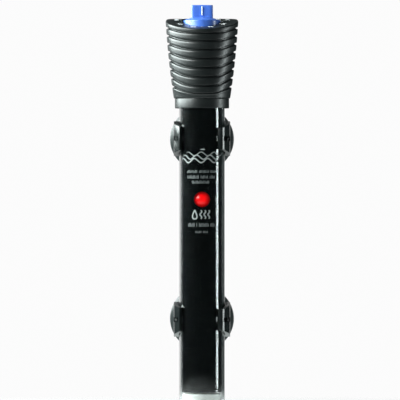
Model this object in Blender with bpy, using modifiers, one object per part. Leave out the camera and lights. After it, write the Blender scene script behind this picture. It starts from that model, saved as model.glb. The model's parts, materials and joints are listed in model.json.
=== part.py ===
"""Submersible aquarium heater with a ribbed cap, a temperature dial and two suction-cup clips.

Everything is laid out in the heater's own frame: Z is the tube's axis, and height 0 is the bottom of the
tube. One empty, heater_axis, carries that frame to the world, whose origin is the middle of the upper
suction cup on the aquarium wall. The wall is the plane Y = 0, and the heater hangs on its -Y side.
"""

import math

import bmesh
import bpy
from mathutils import Matrix, Vector

MM = 0.001
GAP = 0.3 * MM  # clearance between pieces that touch

# Tube
TUBE_RADIUS = 12.0 * MM
TUBE_WALL = 1.2 * MM
TUBE_TOP = 178.0 * MM
TUBE_END_DEPTH = 9.0 * MM  # height of the rounded closed end
TUBE_BORE = TUBE_RADIUS - TUBE_WALL
SLEEVE_RADIUS = TUBE_BORE - GAP
SLEEVE_WALL = 0.3 * MM
SLEEVE_BOTTOM = 13.0 * MM
SLEEVE_TOP = 165.0 * MM
CHASSIS_RADIUS = SLEEVE_RADIUS - SLEEVE_WALL - 0.5 * MM  # discs that slide into the sleeve

# Cap, and the collar below it
COLLAR_FOOT = 162.5 * MM
COLLAR_TOP = 167.4 * MM
COLLAR_RADIUS = 14.3 * MM
COLLAR_EDGE = 0.5 * MM
CAP_FOOT = COLLAR_TOP + GAP
CAP_RIM = 210.0 * MM
CAP_FOOT_RADIUS = 14.85 * MM
CAP_RIM_RADIUS = 19.25 * MM
CAP_BELLY = 2.2 * MM  # how much the taper steepens towards the foot, 0 would be a straight cone
CAP_BORE = TUBE_RADIUS + GAP
RIM_ROUNDING = 1.5 * MM
GROOVE_COUNT = 8
GROOVE_TOP = 204.9 * MM
GROOVE_PITCH = 4.4 * MM
GROOVE_WIDTH = 1.0 * MM
GROOVE_DEPTH = 0.8 * MM
DROOP = 4.6 * MM  # how far the grooves dip at the front
DROOP_POWER = 2.75
DROOP_FADE = 0.45  # how fast it fades towards the axis
DROOP_START = COLLAR_TOP + 0.2 * MM
DROOP_FULL = COLLAR_TOP + 8.0 * MM
SKIN = 1.3 * MM  # how deep below the cap's outer skin its points still droop
SCOOP_SLOPE = 0.258  # the cap's top face slants down to the front
SCOOP_MIDDLE = 208.9 * MM  # its height at the sides
SCOOP_REACH = 7.76 * MM  # how far out the slant counts from, whatever a point's radius
SCOOP_SPREAD = 0.584  # how much of the radius adds to that
CHAMBER_RADIUS = 13.5 * MM
CHAMBER_FLOOR = 180.8 * MM
CHAMBER_CEILING = 199.0 * MM
WELL_RADIUS = 10.0 * MM
WELL_FLOOR = 201.5 * MM
WELL_EDGE = 0.3 * MM  # how far the deck falls in to the well

# Dial and its spindle
DIAL_RADIUS = WELL_RADIUS - GAP
DIAL_BOTTOM = WELL_FLOOR + GAP
DIAL_SHOULDER = 208.8 * MM
DIAL_CROWN = 210.6 * MM
GRIP_TOP = 217.0 * MM
GRIP_LENGTH = 11.6 * MM
GRIP_WIDTH = 4.4 * MM
SPINDLE_RADIUS = 2.5 * MM
SPINDLE_BOTTOM = 162.8 * MM
SPINDLE_TOP = 207.5 * MM
O_RING_HEIGHTS = {"upper": 190.0 * MM, "lower": 186.5 * MM}
O_RING_WIRE = 0.42 * MM
O_RING_RADIUS = 2.15 * MM
CLIP_RING_HEIGHT = 166.9 * MM
HOUSING_RADIUS = 8.5 * MM
HOUSING_NECK = 6.0 * MM
BUNG_BOTTOM = 168.0 * MM
BUNG_FLANGE = TUBE_TOP + GAP
BUNG_TOP = CHAMBER_FLOOR - GAP

# Cord entry, behind the dial
GLAND_OFFSET = 14.0 * MM
CORD_PASSAGE = 3.0 * MM
GLAND_BORE = 2.9 * MM
GLAND_RADIUS = 3.3 * MM
GLAND_BOTTOM = 201.3 * MM
GLAND_TOP = 214.5 * MM
BUNG_CORD_OFFSET = 6.8 * MM
BUNG_CORD_BORE = 3.1 * MM

# Thermostat
SCREW_RADIUS = 1.5 * MM
SCREW_TIP = 150.3 * MM
SCREW_TOP = SPINDLE_BOTTOM - 0.4 * MM
BRACKET_HEIGHT = 157.5 * MM
BRACKET_HALF = 1.0 * MM  # half its thickness
BASE_HEIGHT = 99.5 * MM
BASE_HALF = 1.5 * MM
WIRE_OFFSET = 8.4 * MM  # how far the leads run from the tube's axis
WIRE_RADIUS = 0.6 * MM
BIMETAL_PIVOT = Vector((0.0, 1.9, 108.0)) * MM
ARM_PIVOT = Vector((0.0, 4.4, 133.5)) * MM
CONTACT_HEIGHT = 144.0 * MM

# Indicator
LAMP_HEIGHT = 114.5 * MM
LAMP_RADIUS = 4.0 * MM
BOARD_FACE = -4.4 * MM

# Heating element
CORE_BOTTOM = 21.5 * MM
CORE_TOP = 88.0 * MM
CORE_RADIUS = 6.6 * MM
CORE_BORE = 1.5 * MM
FLUTES = 10
COIL_RADIUS = 7.6 * MM
COIL_WIRE = 0.4 * MM
COIL_TURNS = 12
LEAD_TOP = 91.9 * MM  # where the coil's two ends stop, inside the crimps
LEAD_HOLE = 1.2 * MM

# Holders
WALL_DISTANCE = 26.5 * MM  # from the tube's axis to the aquarium wall
CLIP_HEIGHTS = {"upper": 146.6 * MM, "lower": 51.2 * MM}
CLIP_BORE = TUBE_RADIUS + GAP
CLIP_HALF_HEIGHT = 9.2 * MM
CLIP_BACK = 18.2 * MM
RIGHT_TIP = math.radians(42.5)  # arm tips, as angles from the heater's front
LEFT_TIP = math.radians(59.5)
RIGHT_FACETS = [(9.75, -9.9), (10.86, -9.26), (11.75, -8.43)]  # corners in millimetres
LEFT_FACETS = [(0.0, 13.9), (0.17, 14.2)]  # angle behind the tip, and radius in millimetres
SLOT_HEIGHT = 2.4 * MM
POST_RADIUS = 0.5 * MM
SLOT_POST = (13.3, -3.4)  # where a small post bridges the slit of the right arm, and mirrored the left
KNOB_RADIUS = 3.5 * MM
NECK_RADIUS = 2.1 * MM

# The suction cup's profile: (radius, distance from the wall), in millimetres
KNOB_PROFILE = [(0, 12.7), (2.9, 12.7), (3.5, 12.1), (3.5, 11.2), (2.9, 10.6), (2.1, 10.6), (2.1, 8.0)]
CUP_OUTSIDE = [(5.2, 8.0), (6.0, 7.3), (7.2, 5.6), (10.0, 4.0), (13.5, 2.5), (16.4, 1.2), (17.0, 0.6)]
CUP_INSIDE = [(17.0, 0.0), (15.4, 0.0), (13.4, 0.9), (9.5, 2.1), (5.0, 2.9), (0, 3.2)]


# ---------------------------------------------------------------- helpers


def clear_scene():
    for obj in list(bpy.data.objects):
        bpy.data.objects.remove(obj, do_unlink=True)


def new_collection(name):
    collection = bpy.data.collections.new(name)
    bpy.context.scene.collection.children.link(collection)
    return collection


def new_material(name, colour, roughness, metallic=0.0):
    material = bpy.data.materials.new(name)
    material.use_nodes = True
    shader = material.node_tree.nodes["Principled BSDF"]
    shader.inputs["Base Color"].default_value = (*colour, 1.0)
    shader.inputs["Roughness"].default_value = roughness
    shader.inputs["Metallic"].default_value = metallic
    material.diffuse_color = (*colour, 1.0)
    return material


def new_pivot(name, location, parent=None):
    """An empty on a joint's axis. Its children keep their places in the heater's frame."""
    pivot = bpy.data.objects.new(name, None)
    pivot.empty_display_size = 5 * MM
    pivot.location = location
    pivot.parent = parent
    parts.objects.link(pivot)
    return pivot


def add_object(name, data, material, pivot=None):
    obj = bpy.data.objects.new(name, data)
    parts.objects.link(obj)
    data.materials.append(material)
    hang(obj, pivot)
    return obj


def hang(obj, pivot):
    """Parents to a pivot without moving the object in the heater's frame."""
    obj.parent = pivot or heater_axis
    if pivot:
        obj.matrix_parent_inverse = Matrix.Translation(-pivot.location)


def shade(mesh, angle=35):
    mesh.shade_smooth()
    mesh.set_sharp_from_angle(angle=math.radians(angle))


def apply_modifiers(obj):
    graph = bpy.context.evaluated_depsgraph_get()
    mesh = bpy.data.meshes.new_from_object(obj.evaluated_get(graph))
    obj.modifiers.clear()
    obj.data = mesh
    shade(mesh)


def turned(name, profile, material, steps=32, ring=False, pivot=None):
    """Turns (radius, height) points round Z, from the top down the outer side. A ring's profile closes."""
    mesh = bpy.data.meshes.new(name)
    last = len(profile) - 1
    edges = [(i, i + 1) for i in range(last)] + ([(last, 0)] if ring else [])
    mesh.from_pydata([(radius, 0.0, height) for radius, height in profile], edges, [])
    obj = add_object(name, mesh, material, pivot)
    screw = obj.modifiers.new("turn", "SCREW")
    screw.steps = screw.render_steps = steps
    screw.use_merge_vertices = True
    screw.merge_threshold = 0.00001
    apply_modifiers(obj)
    return obj


def arc(centre, radii, start, end, count):
    """Points on an ellipse's arc, from start to end in degrees."""
    angles = [math.radians(start + (end - start) * i / (count - 1)) for i in range(count)]
    return [(centre[0] + radii[0] * math.cos(a), centre[1] + radii[1] * math.sin(a)) for a in angles]


def face_front(obj, height, depth):
    """Lays a turned piece down, so that its axis points at the heater's front."""
    obj.rotation_euler = (math.pi / 2, 0.0, 0.0)
    obj.location = (0.0, depth, height)


def bmesh_object(name, bm, material, pivot=None):
    mesh = bpy.data.meshes.new(name)
    bm.to_mesh(mesh)
    bm.free()
    shade(mesh)
    return add_object(name, mesh, material, pivot)


def box(name, low, high, material, pivot=None):
    """A box between two corners, given in millimetres in the heater's frame."""
    low, high = Vector(low) * MM, Vector(high) * MM
    bm = bmesh.new()
    place = Matrix.Translation((low + high) / 2) @ Matrix.Diagonal((*(high - low), 1.0))
    bmesh.ops.create_cube(bm, size=1.0, matrix=place)
    return bmesh_object(name, bm, material, pivot)


def rod(name, start, end, radius, material, sides=16, pivot=None):
    """A round bar from start to end, both in metres in the heater's frame."""
    start, end = Vector(start), Vector(end)
    turn = (end - start).to_track_quat("Z", "Y").to_matrix().to_4x4()
    bm = bmesh.new()
    bmesh.ops.create_cone(
        bm,
        cap_ends=True,
        segments=sides,
        radius1=radius,
        radius2=radius,
        depth=(end - start).length,
        matrix=Matrix.Translation((start + end) / 2) @ turn,
    )
    return bmesh_object(name, bm, material, pivot)


def new_spline(curve, points, closed):
    spline = curve.splines.new("POLY")
    spline.points.add(len(points) - 1)
    for point, place in zip(spline.points, points, strict=True):
        point.co = (*place, 1.0)
    spline.use_cyclic_u = closed


def curve_to_mesh(obj):
    """Swaps a curve object for a mesh object of the same shape, name and place, with its caps welded."""
    graph = bpy.context.evaluated_depsgraph_get()
    mesh = bpy.data.meshes.new_from_object(obj.evaluated_get(graph))
    name, parent, inverse = obj.name, obj.parent, obj.matrix_parent_inverse.copy()
    local = obj.matrix_local.copy()
    bpy.data.objects.remove(obj, do_unlink=True)
    bm = bmesh.new()
    bm.from_mesh(mesh)
    bmesh.ops.remove_doubles(bm, verts=bm.verts, dist=0.000001)
    bm.to_mesh(mesh)
    bm.free()
    shade(mesh)
    swapped = bpy.data.objects.new(name, mesh)
    parts.objects.link(swapped)
    swapped.parent = parent
    swapped.matrix_parent_inverse = inverse
    swapped.matrix_local = local
    return swapped


def wire(name, points, radius, material, pivot=None):
    curve = bpy.data.curves.new(name, "CURVE")
    curve.dimensions = "3D"
    curve.bevel_depth = radius
    curve.bevel_resolution = 2
    curve.use_fill_caps = True
    new_spline(curve, points, closed=False)
    return add_object(name, curve, material, pivot)


def plate(name, outlines, bottom, top, material, pivot=None):
    """A flat piece with vertical sides. Each outline after the first is a hole through it."""
    curve = bpy.data.curves.new(name, "CURVE")
    curve.dimensions = "2D"
    curve.fill_mode = "BOTH"
    curve.extrude = (top - bottom) / 2
    for outline in outlines:
        new_spline(curve, [(x, y, 0.0) for x, y in outline], closed=True)
    obj = add_object(name, curve, material, pivot)
    obj.location.z = (top + bottom) / 2
    return curve_to_mesh(obj)


def circle(radius, count, centre=(0.0, 0.0)):
    return arc(centre, (radius, radius), 0, 360 * (count - 1) / count, count)


def as_cutter(tool, target, operation="DIFFERENCE"):
    """Cuts the target with the tool, or joins the tool to it."""
    tool.hide_render = True
    tool.display_type = "WIRE"
    parts.objects.unlink(tool)
    cutters.objects.link(tool)
    boolean = target.modifiers.new(tool.name, "BOOLEAN")
    boolean.operation = operation
    boolean.solver = "EXACT"
    boolean.object = tool


def smooth_route(points, per_span=5):
    """Points on a smooth curve through a few millimetre points, in metres (Catmull-Rom)."""
    ends = [Vector(p) * MM for p in (points[0], *points, points[-1])]
    route = []
    for before, start, end, after in zip(ends, ends[1:], ends[2:], ends[3:]):
        for step in range(per_span):
            t = step / per_span
            route.append(
                0.5
                * (
                    2 * start
                    + (end - before) * t
                    + (2 * before - 5 * start + 4 * end - after) * t**2
                    + (3 * start - before - 3 * end + after) * t**3
                )
            )
    return [*route, ends[-1]]


# ---------------------------------------------------------------- tube


def make_glass_tube():
    inner_end = TUBE_END_DEPTH - TUBE_WALL + 0.3 * MM
    outer = [(TUBE_RADIUS, TUBE_TOP), *arc((0, TUBE_END_DEPTH), (TUBE_RADIUS, TUBE_END_DEPTH), 0, -90, 7)]
    centre = TUBE_WALL + inner_end
    inner = arc((0, centre), (TUBE_BORE, inner_end), -90, 0, 5)
    profile = [*outer[:-1], (0, 0), (0, TUBE_WALL), *inner[1:], (TUBE_BORE, TUBE_TOP)]
    turned("glass_tube", profile, glass, steps=32, ring=True)


def make_sleeve():
    inner = SLEEVE_RADIUS - SLEEVE_WALL
    profile = [(SLEEVE_RADIUS, SLEEVE_TOP), (SLEEVE_RADIUS, SLEEVE_BOTTOM)]
    profile += [(inner, SLEEVE_BOTTOM), (inner, SLEEVE_TOP)]
    sleeve = turned("light_shield_sleeve", profile, sleeve_black, ring=True)
    start, end = (0, -5 * MM, LAMP_HEIGHT), (0, -15 * MM, LAMP_HEIGHT)
    as_cutter(rod("cut_lamp_window", start, end, LAMP_RADIUS + GAP, sleeve_black, sides=20), sleeve)


def make_cushion():
    radius, top, bottom, edge = TUBE_BORE - 2 * GAP, 12.4 * MM, 2.2 * MM, 1 * MM
    middle = TUBE_END_DEPTH + 2 * GAP
    bowl = arc((0, middle), (radius, middle - bottom), 0, -90, 5)
    profile = [(0, top), (radius - edge, top), (radius, top - edge), *bowl[:-1], (0, bottom)]
    turned("bottom_cushion", profile, white_pad, steps=24)


# ---------------------------------------------------------------- heating element


def make_core():
    count, flute_depth = FLUTES * 4, 0.7 * MM
    outline = []
    for i in range(count):
        angle = 2 * math.pi * i / count
        radius = CORE_RADIUS - flute_depth * (1 - math.cos(FLUTES * angle)) / 2
        outline.append((radius * math.cos(angle), radius * math.sin(angle)))
    plate("heater_core", [outline, circle(CORE_BORE, 12)], CORE_BOTTOM, CORE_TOP, ceramic_white)


def make_coil():
    """One wire: down the outside of the core as a helix, across below it and back up through its bore."""
    start, end, per_turn = CORE_TOP - 2 * MM, CORE_BOTTOM + 1.5 * MM, 10
    count = COIL_TURNS * per_turn
    route = [(COIL_RADIUS, 0.0, LEAD_TOP)]
    for i in range(count + 1):
        angle = 2 * math.pi * i / per_turn
        height = start + (end - start) * i / count
        route.append((COIL_RADIUS * math.cos(angle), COIL_RADIUS * math.sin(angle), height))
    below = CORE_BOTTOM - 1.0 * MM
    route += [(COIL_RADIUS - 0.4 * MM, 0.0, below), (0.4 * MM, 0.0, below), (0.0, 0.0, below + 0.5 * MM)]
    route.append((0.0, 0.0, LEAD_TOP))
    wire("heating_coil", route, COIL_WIRE, nichrome)


def make_core_discs():
    """Discs that keep the core and its leads in the middle of the tube."""
    discs = {
        "lower_core_disc": (18.0 * MM, 19.5 * MM, ceramic_grey, []),
        "upper_core_disc": (88.5 * MM, 90.0 * MM, ceramic_grey, [0.0, COIL_RADIUS]),
        "heat_shield_disc": (94.0 * MM, 94.8 * MM, mica, [0.0, COIL_RADIUS]),
    }
    for name, (bottom, top, material, holes) in discs.items():
        rims = [circle(CHASSIS_RADIUS, 32)] + [circle(LEAD_HOLE, 10, (x, 0.0)) for x in holes]
        plate(name, rims, bottom, top, material)


def make_crimps():
    bottom, top, outer, inner = 90.6 * MM, 93.6 * MM, 1.15 * MM, 0.75 * MM
    profile = [(outer, top), (outer, bottom), (inner, bottom), (inner, top)]
    for name, x in {"live_crimp": COIL_RADIUS, "neutral_crimp": 0.0}.items():
        crimp = turned(name, profile, tinned, steps=12, ring=True)
        crimp.location.x = x


def make_wires():
    """Insulated leads. Their routes are points in millimetres, and the curves through them are smooth."""
    from_coil = [(7.6, 0, 92.3), (7.6, 0, 95.4), (8.4, 0, 97.8), (8.4, 0, 101.5)]
    to_clamp = [(7.4, 2.6, 104), (4.4, 4.5, 104.6)]
    from_bore = [(0, 0, 92.3), (0, 0, 95.2), (-2.5, 0, 96.5), (-6.2, 0, 96.6), (-8.4, 0, 98.4)]
    up_the_side = [(-8.4, 0, 112), (-8.4, 0, 135), (-8.4, 0, 158)]
    to_bung = [(-5.8, 5.2, 163.2), (-1.4, 6.8, 168), (-1.4, 6.8, 173)]
    from_bung = [(1.4, 6.8, 173), (1.4, 6.8, 168), (5.8, 5.2, 163.2), (8.4, 0, 158)]
    to_arm = [(8.4, 0, 142), (7.4, 3.4, 137), (4.5, 5.6, 134.4)]
    routes = {
        "element_wire": (from_coil + to_clamp, wire_white),
        "neutral_wire": (from_bore + up_the_side + to_bung, wire_blue),
        "live_wire": (from_bung + to_arm, wire_brown),
    }
    for name, (points, colour) in routes.items():
        wire(name, smooth_route(points, per_span=2), WIRE_RADIUS, colour)


# ---------------------------------------------------------------- thermostat


def make_frame():
    """Base disc, back plate and top bracket, made as one pressing."""
    rim = circle(CHASSIS_RADIUS, 32)
    frame = plate("thermostat_frame", [rim], BASE_HEIGHT - BASE_HALF, BASE_HEIGHT + BASE_HALF, steel)
    low, high = BRACKET_HEIGHT - BRACKET_HALF, BRACKET_HEIGHT + BRACKET_HALF
    bracket = plate("join_top_bracket", [rim], low, high, steel)
    back = box("join_back_plate", (-5, 7.0, BASE_HEIGHT / MM + 0.5), (5, 8.2, BRACKET_HEIGHT / MM), steel)
    as_cutter(back, frame, "UNION")
    as_cutter(bracket, frame, "UNION")
    for side, x in {"left": -WIRE_OFFSET, "right": WIRE_OFFSET}.items():
        start, end = (x, 0, BASE_HEIGHT - 10 * MM), (x, 0, BRACKET_HEIGHT + 8 * MM)
        as_cutter(rod(f"cut_{side}_wire_notch", start, end, 2 * WIRE_RADIUS, steel, sides=12), frame)
    start, end = (0, 0, low - 5 * MM), (0, 0, high + 5 * MM)
    as_cutter(rod("cut_screw_hole", start, end, SCREW_RADIUS + GAP, steel), frame)


def make_support_rods():
    bottom, top = BRACKET_HEIGHT + BRACKET_HALF + GAP, BUNG_BOTTOM - GAP
    radius, forward = 0.9 * MM, 6.4 * MM
    for side, x in {"left": -6.0 * MM, "right": 6.0 * MM}.items():
        rod(f"{side}_support_rod", (x, -forward, bottom), (x, -forward, top), radius, steel, sides=12)


def make_bimetal():
    clamp = box("bimetal_clamp", (-3.5, 2.4, 101.3), (3.5, 6.7, 107.5), ceramic_white)
    strip = box("bimetal_strip", (-2.5, 1.7, 101.8), (2.5, 2.1, 147), bimetal_gold, bimetal_pivot)
    height, length, head, head_radius, shank = 104.5 * MM, 5.6 * MM, 1.0 * MM, 1.6 * MM, 0.8 * MM
    profile = [(0, length), (head_radius, length), (head_radius, length - head), (shank, length - head)]
    screw = turned("bimetal_screw", [*profile, (shank, 0.0), (0, 0)], brass, steps=16)
    face_front(screw, height, 6.0 * MM)
    for target in (strip, clamp):
        start, end = (0, 0, height), (0, 6.4 * MM, height)
        as_cutter(rod(f"cut_{target.name}_hole", start, end, shank + GAP, brass), target)
    box("armature_plate", (-2.2, 2.4, 118.5), (2.2, 3.2, 123.5), steel, bimetal_pivot)
    box("snap_magnet", (-2.5, 4.6, 118), (2.5, 6.7, 124), magnet_grey)


def make_contact_arm():
    """A leaf with a flange bent forward at its top, under the adjusting screw."""
    box("arm_insulator", (-3.5, 4.9, 130), (3.5, 6.7, 137), ceramic_white)
    arm = box("contact_arm", (-2.5, 4.2, 130), (2.5, 4.6, 150), spring_copper, arm_pivot)
    flange = box("join_arm_flange", (-2.5, -1.8, 149.6), (2.5, 4.4, 150), spring_copper, arm_pivot)
    as_cutter(flange, arm, "UNION")
    contacts = {"fixed_contact": (3.9, 3.5, arm_pivot), "moving_contact": (2.4, 2.75, bimetal_pivot)}
    for name, (back, front, pivot) in contacts.items():
        start, end = (0, back * MM, CONTACT_HEIGHT), (0, front * MM, CONTACT_HEIGHT)
        rod(name, start, end, 1.3 * MM, silver, pivot=pivot)


def make_adjusting_screw():
    """A threaded pin with a tongue on top, which sits in the spindle's slot."""
    profile = [(0, SCREW_TOP), (SCREW_RADIUS, SCREW_TOP), (SCREW_RADIUS, SCREW_TIP + 1 * MM)]
    profile += [(0.6 * MM, SCREW_TIP), (0, SCREW_TIP)]
    screw = turned("adjusting_screw", profile, brass, steps=16, pivot=dial_pivot)
    tongue = box("join_tongue", (-1.3, -0.35, 162), (1.3, 0.35, 165.6), brass, dial_pivot)
    as_cutter(tongue, screw, "UNION")


# ---------------------------------------------------------------- indicator


def make_indicator():
    box("indicator_board", (-6.5, -4.4, 101.3), (6.5, -3.2, 131), board_green)
    flange, flange_top, dome_foot = LAMP_RADIUS + 0.6 * MM, 1.3 * MM, 2.8 * MM
    dome = arc((0, dome_foot), (LAMP_RADIUS, 3.2 * MM), 90, 0, 6)
    profile = [(0, dome[0][1]), *dome[1:]]
    profile += [(LAMP_RADIUS, flange_top), (flange, flange_top), (flange, GAP), (0, GAP)]
    lamp = turned("indicator_lamp", profile, lamp_red, steps=20)
    face_front(lamp, LAMP_HEIGHT, BOARD_FACE)
    lying = {
        "lamp_resistor": (3.2 * MM, -6.0 * MM, 104.6 * MM, 1.1 * MM, resistor_tan),
        "lamp_diode": (2.6 * MM, -6.1 * MM, 108.1 * MM, 1.2 * MM, magnet_grey),
    }
    for name, (half, depth, height, radius, material) in lying.items():
        rod(name, (-half, depth, height), (half, depth, height), radius, material)
    height = 124.6 * MM
    start, end = (0, -7.1 * MM, height), (0, -4.7 * MM, height)
    rod("suppressor_capacitor", start, end, 4.2 * MM, capacitor_orange, sides=24)


# ---------------------------------------------------------------- head


def cap_radius(height):
    share = (height - CAP_FOOT) / (CAP_RIM - CAP_FOOT)
    return CAP_FOOT_RADIUS + (CAP_RIM_RADIUS - CAP_FOOT_RADIUS) * share + CAP_BELLY * share * (1 - share)


def droop(point):
    """How far a point of the cap's skin is lowered: most at the front, nothing from the sides back."""
    if point.y >= 0:
        return 0.0
    share = min(max((point.z - DROOP_START) / (DROOP_FULL - DROOP_START), 0.0), 1.0)
    radius = math.hypot(point.x, point.y)
    side = abs(point.x) / radius
    fall = (radius / CAP_RIM_RADIUS) ** DROOP_FADE
    return DROOP * fall * share * share * (3 - 2 * share) * (1 - side**DROOP_POWER)


def deck_height(point):
    """The height of the cap's top face: slanting down to the front, and level behind."""
    radius = math.hypot(point.x, point.y)
    forward = point.y / radius * (SCOOP_REACH + SCOOP_SPREAD * radius)
    return min(SCOOP_MIDDLE + SCOOP_SLOPE * forward, CAP_RIM)


def cap_profile():
    """The cap's wall: over the rim, down the ribs, up the bore and the chamber, and up the dial's well."""
    shoulder = 0.4 * RIM_ROUNDING
    rim = [(CAP_RIM_RADIUS - 1.5 * RIM_ROUNDING, CAP_RIM), (CAP_RIM_RADIUS - shoulder, CAP_RIM - shoulder)]
    rim.append((cap_radius(CAP_RIM - RIM_ROUNDING), CAP_RIM - RIM_ROUNDING))
    ribs = []
    for index in range(GROOVE_COUNT):
        height = GROOVE_TOP - GROOVE_PITCH * index
        for offset, depth in ((GROOVE_WIDTH / 2, 0.0), (0.0, GROOVE_DEPTH), (-GROOVE_WIDTH / 2, 0.0)):
            ribs.append((cap_radius(height + offset) - depth, height + offset))
    neck = HOUSING_NECK + GAP
    bore = [(CAP_FOOT_RADIUS, CAP_FOOT), (CAP_BORE, CAP_FOOT), (CAP_BORE, CHAMBER_FLOOR)]
    chamber = [(CHAMBER_RADIUS, CHAMBER_FLOOR + 1.5 * MM), (CHAMBER_RADIUS, CHAMBER_CEILING)]
    chamber.append((neck, CHAMBER_CEILING))
    well = [(neck, WELL_FLOOR), (WELL_RADIUS, WELL_FLOOR), (WELL_RADIUS, CAP_RIM - WELL_EDGE)]
    return [*rim, *ribs, *bore, *chamber, *well]


def make_cap():
    cap = turned("ribbed_cap", cap_profile(), cap_black, steps=36, ring=True)
    deck_depth = 2 * MM  # the rim's points lie above this depth, and the wall's below it
    for vertex in cap.data.vertices:
        if vertex.co.z > CAP_RIM - deck_depth:
            vertex.co.z += deck_height(vertex.co) - CAP_RIM
        elif math.hypot(vertex.co.x, vertex.co.y) > cap_radius(vertex.co.z) - SKIN:
            vertex.co.z -= droop(vertex.co)
    shade(cap.data)
    y, seat = GLAND_OFFSET, GLAND_BOTTOM - GAP
    holes = {
        "cut_gland_seat": (GLAND_RADIUS + 0.2 * MM, seat, CAP_RIM + 10 * MM),
        "cut_cord_passage": (CORD_PASSAGE, CHAMBER_CEILING - 3 * MM, seat + 3 * MM),
    }
    for name, (radius, start, end) in holes.items():
        as_cutter(rod(name, (0, y, start), (0, y, end), radius, cap_black, sides=20), cap)


def make_collar():
    radius, edge = COLLAR_RADIUS, COLLAR_EDGE
    profile = [(CAP_BORE, COLLAR_TOP), (radius, COLLAR_TOP), (radius, COLLAR_FOOT + edge)]
    profile += [(radius - edge, COLLAR_FOOT), (CAP_BORE, COLLAR_FOOT)]
    turned("cap_collar", profile, cap_black, steps=36, ring=True)


def make_bung():
    bore, plug, flange, edge = SPINDLE_RADIUS + 0.4 * MM, TUBE_BORE - GAP, TUBE_RADIUS, 1 * MM
    outside = [(flange, BUNG_TOP), (flange, BUNG_FLANGE), (plug, BUNG_FLANGE), (plug, BUNG_BOTTOM + edge)]
    profile = [(bore, BUNG_TOP), *outside, (plug - edge, BUNG_BOTTOM), (bore, BUNG_BOTTOM)]
    bung = turned("seal_bung", profile, rubber_grey, steps=28, ring=True)
    start, end = (0, BUNG_CORD_OFFSET, BUNG_BOTTOM - 5 * MM), (0, BUNG_CORD_OFFSET, BUNG_TOP + 5 * MM)
    as_cutter(rod("cut_bung_cord", start, end, BUNG_CORD_BORE, rubber_grey), bung)


def make_housing():
    """Carries the spindle. Its neck stands in the floor of the dial's well."""
    bore, foot = SPINDLE_RADIUS + GAP, HOUSING_RADIUS + 1.2 * MM
    bottom, shoulder, top = BUNG_TOP + GAP, CHAMBER_CEILING - GAP, WELL_FLOOR - GAP
    profile = [(bore, top), (HOUSING_NECK, top), (HOUSING_NECK, shoulder), (HOUSING_RADIUS, shoulder)]
    profile += [(HOUSING_RADIUS, bottom + 3 * MM), (foot, bottom + 2 * MM), (foot, bottom), (bore, bottom)]
    housing = turned("dial_housing", profile, plastic_black, steps=24, ring=True)
    half, y, low, high = BUNG_CORD_BORE, BUNG_CORD_OFFSET, bottom - 5 * MM, bottom + 11 * MM
    as_cutter(rod("cut_housing_cord", (0, y, low), (0, y, high), half, plastic_black), housing)
    slot_low, slot_high = (-half / MM, y / MM, low / MM), (half / MM, 13, high / MM)
    as_cutter(box("cut_housing_slot", slot_low, slot_high, plastic_black), housing)


def make_spindle():
    radius = SPINDLE_RADIUS
    o_ring_groove = (O_RING_RADIUS - O_RING_WIRE - 0.1 * MM, 0.7 * MM)  # radius at its floor, half its width
    clip_groove = (1.8 * MM, 0.55 * MM)
    grooves = [(height, *o_ring_groove) for height in O_RING_HEIGHTS.values()]
    profile = [(0, SPINDLE_TOP), (radius, SPINDLE_TOP)]
    for height, floor, half in [*grooves, (CLIP_RING_HEIGHT, *clip_groove)]:
        above, below = height + half, height - half
        profile += [(radius, above), (floor, above), (floor, below), (radius, below)]
    profile += [(radius, SPINDLE_BOTTOM), (0, SPINDLE_BOTTOM)]
    spindle = turned("dial_spindle", profile, plastic_black, steps=16, pivot=dial_pivot)
    as_cutter(box("cut_tongue_slot", (-4, -0.7, 160), (4, 0.7, 166), plastic_black, dial_pivot), spindle)
    for place, height in O_RING_HEIGHTS.items():
        bpy.ops.mesh.primitive_torus_add(
            major_segments=16, minor_segments=6, major_radius=O_RING_RADIUS, minor_radius=O_RING_WIRE
        )
        o_ring = bpy.context.object
        o_ring.name = f"{place}_o_ring"
        o_ring.location = (0.0, 0.0, height)
        o_ring.data.materials.append(rubber_black)
        shade(o_ring.data, 60)
        bpy.context.collection.objects.unlink(o_ring)
        parts.objects.link(o_ring)
        hang(o_ring, dial_pivot)


def make_spindle_clip():
    """A flat spring ring, open at one side, in the spindle's lowest groove."""
    gap_angle, outer, inner, half = 35, 4.2 * MM, 2.1 * MM, 0.3 * MM
    outline = arc((0, 0), (outer, outer), gap_angle, 360 - gap_angle, 20)
    outline += arc((0, 0), (inner, inner), 360 - gap_angle, gap_angle, 20)
    plate("spindle_clip", [outline], CLIP_RING_HEIGHT - half, CLIP_RING_HEIGHT + half, steel, dial_pivot)


def make_dial():
    """A round dial with a low crown and a grip bar across it."""
    socket, depth = SPINDLE_RADIUS + GAP, SPINDLE_TOP + GAP
    profile = [(0, DIAL_CROWN), (5.0 * MM, DIAL_CROWN - 0.2 * MM)]
    profile.append((DIAL_RADIUS - 0.6 * MM, DIAL_SHOULDER + 0.2 * MM))
    profile += [(DIAL_RADIUS, DIAL_SHOULDER - 0.4 * MM), (DIAL_RADIUS, DIAL_BOTTOM)]
    profile += [(socket, DIAL_BOTTOM), (socket, depth), (0, depth)]
    dial = turned("temperature_dial", profile, dial_blue, steps=32, pivot=dial_pivot)
    half, round_end = GRIP_LENGTH / 2, GRIP_WIDTH / 2
    outline = arc((half - round_end, 0), (round_end, round_end), -90, 90, 7)
    outline += arc((round_end - half, 0), (round_end, round_end), 90, 270, 7)
    grip = plate("join_grip", [outline], DIAL_CROWN - 1.5 * MM, GRIP_TOP, dial_blue, dial_pivot)
    as_cutter(grip, dial, "UNION")


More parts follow.
